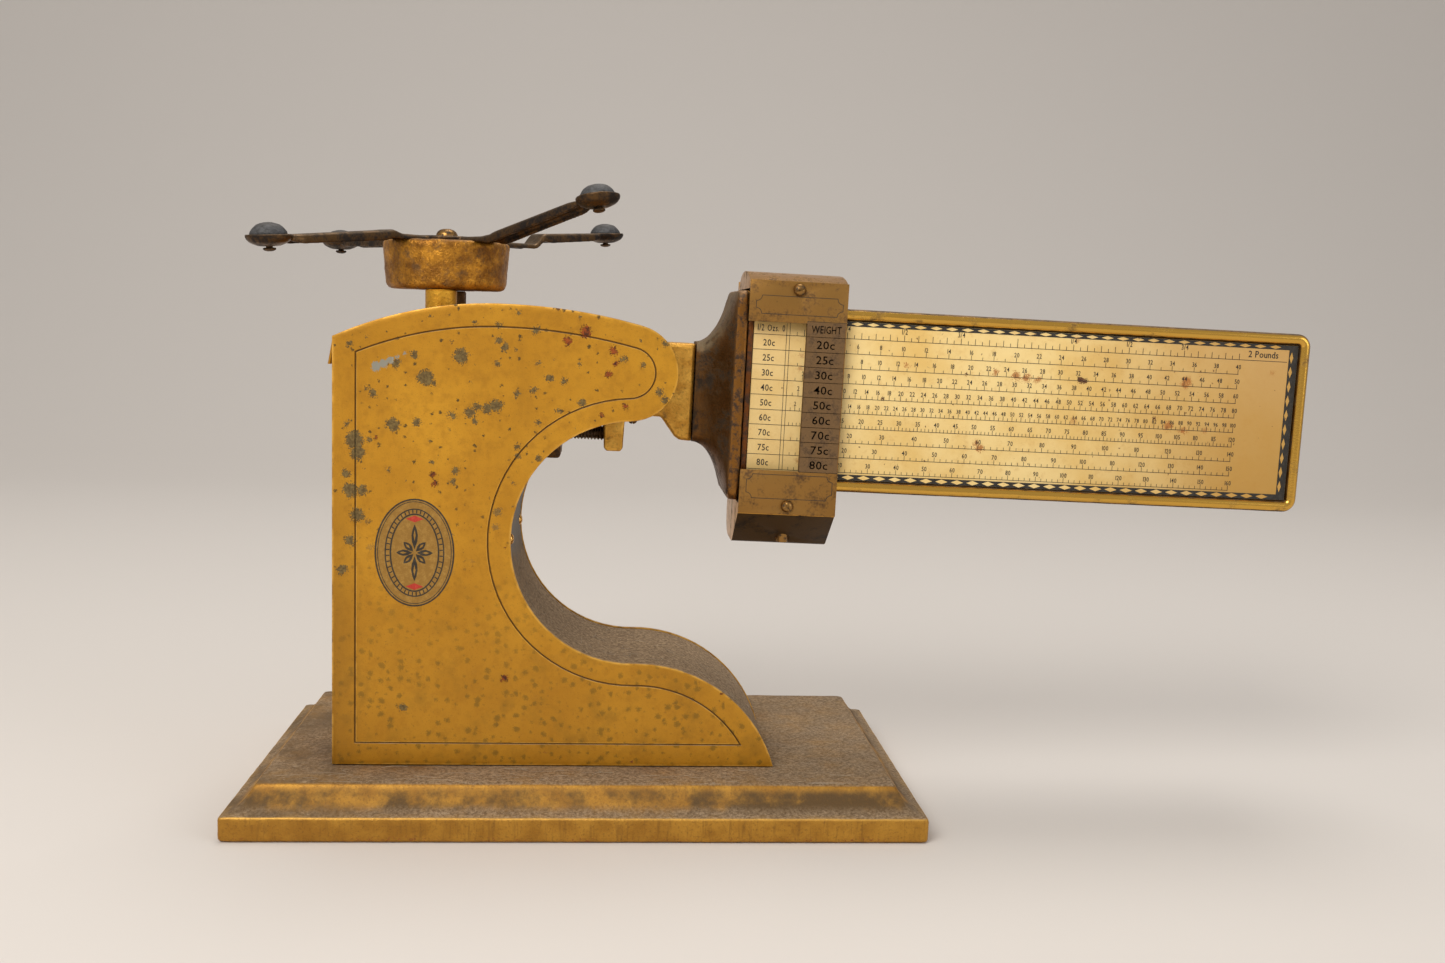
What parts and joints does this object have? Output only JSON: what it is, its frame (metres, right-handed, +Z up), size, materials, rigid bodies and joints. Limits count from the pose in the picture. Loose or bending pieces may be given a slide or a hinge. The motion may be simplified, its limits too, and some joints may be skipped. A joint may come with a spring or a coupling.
{
  "type": "counter scale",
  "caption": "Counter scale with a curved casing, a tilting chart beam with a sliding poise, and a four-armed support for a pan on a check-linked load head.",
  "frame": {"origin": "middle of the base's flat underside, where it rests", "axes": "+X towards the beam's free end, -Y towards the reader of the chart, +Z up"},
  "size_m": [0.3988, 0.1526, 0.2291],
  "materials": {
    "gold_paint": "gold bronze paint over iron, worn and spotted",
    "dusty_sheet": "dusty painted sheet",
    "brass": "aged brass",
    "dark_bronze": "dark bronze casting",
    "chart_cream": "yellowed enamel print on sheet metal",
    "steel": "oily steel with light rust",
    "dark_steel": "dark patinated steel",
    "cast_iron": "rough cast iron",
    "rubber": "matt grey rubber"
  },
  "bodies": {
    "frame": {"base_casting": "gold_paint", "base_screw_front_left": "steel", "base_screw_front_right": "steel", "base_screw_rear_left": "steel", "base_screw_rear_right": "steel", "casing_front_plate": "gold_paint", "casing_rear_plate": "gold_paint", "casing_top_cover": "gold_paint", "casing_end_wall": "gold_paint", "casing_throat_wall": "dusty_sheet", "throat_screw_front": "brass", "throat_screw_rear": "brass", "cheek_front": "cast_iron", "cheek_rear": "cast_iron", "tie_rod_upper": "steel", "tie_rod_lower": "steel", "tail_stop_upper": "steel", "tail_stop_lower": "steel", "fulcrum_bearing_front": "steel", "fulcrum_bearing_rear": "steel", "check_pin_frame": "steel"},
    "beam": {"main_lever": "gold_paint", "lever_screw": "steel", "fulcrum_knife": "steel", "load_knife": "steel", "beam_bell": "dark_bronze", "chart_frame": "brass", "chart_plate_front": "chart_cream", "chart_plate_rear": "chart_cream", "chart_strip_front": "brass", "chart_strip_rear": "brass"},
    "balance_rod": {"balance_screw": "steel"},
    "balance_mass": {"balance_weight": "cast_iron"},
    "poise": {"poise_top_bar": "brass", "poise_bottom_bar": "brass", "poise_plate_front": "brass", "poise_plate_rear": "brass", "poise_screw_front_upper": "brass", "poise_screw_front_lower": "brass", "poise_screw_rear_upper": "brass", "poise_screw_rear_lower": "brass", "poise_brake_screw": "steel"},
    "load_carrier": {"stirrup": "cast_iron", "load_bearing_front": "steel", "load_bearing_rear": "steel", "post_front": "gold_paint", "post_rear": "gold_paint", "load_head": "gold_paint", "spider": "dark_steel", "spider_screw": "steel", "pad_front_left": "rubber", "pad_rear_left": "rubber", "pad_rear_right": "rubber", "pad_front_right": "rubber", "pad_rivet_front_left": "dark_steel", "pad_rivet_rear_left": "dark_steel", "pad_rivet_rear_right": "dark_steel", "pad_rivet_front_right": "dark_steel", "check_pin_stirrup": "steel"},
    "link": {"check_link": "steel"}
  },
  "joints": [
    {"name": "beam_tilt", "type": "hinge", "parent": "frame", "child": "beam", "pos_m": [0.006, -0.011, 0.158], "axis": [0, 1, 0], "range_deg": [-2.8, 0]},
    {"name": "carrier_swing", "type": "hinge", "parent": "beam", "child": "load_carrier", "pos_m": [-0.05498, -0.011, 0.15949], "axis": [0, 1, 0], "range_deg": [0, 2.8]},
    {"name": "check_link_swing", "type": "hinge", "parent": "frame", "child": "link", "pos_m": [0.006, -0.011, 0.046], "axis": [0, 1, 0], "range_deg": [-2.8, 0]},
    {"name": "poise_slide", "type": "slide", "parent": "beam", "child": "poise", "axis": [0.9997, 0, -0.0244], "range_m": [-0.0055, 0.167]},
    {"name": "balance_screw_turn", "type": "hinge", "parent": "beam", "child": "balance_rod", "pos_m": [-0.01243, -0.011, 0.14064], "axis": [0.9997, 0, -0.0244], "range_deg": [-1820, 1820]},
    {"name": "balance_weight_travel", "type": "slide", "parent": "beam", "child": "balance_mass", "axis": [0.9997, 0, -0.0244], "range_m": [-0.0064, 0.0064]}
  ],
  "couplings": [
    {"joint": "carrier_swing", "follows": "beam_tilt", "ratio": -1},
    {"joint": "check_link_swing", "follows": "beam_tilt", "ratio": 1},
    {"joint": "balance_screw_turn", "follows": "balance_weight_travel", "rad_per_m": -4947.4}
  ]
}
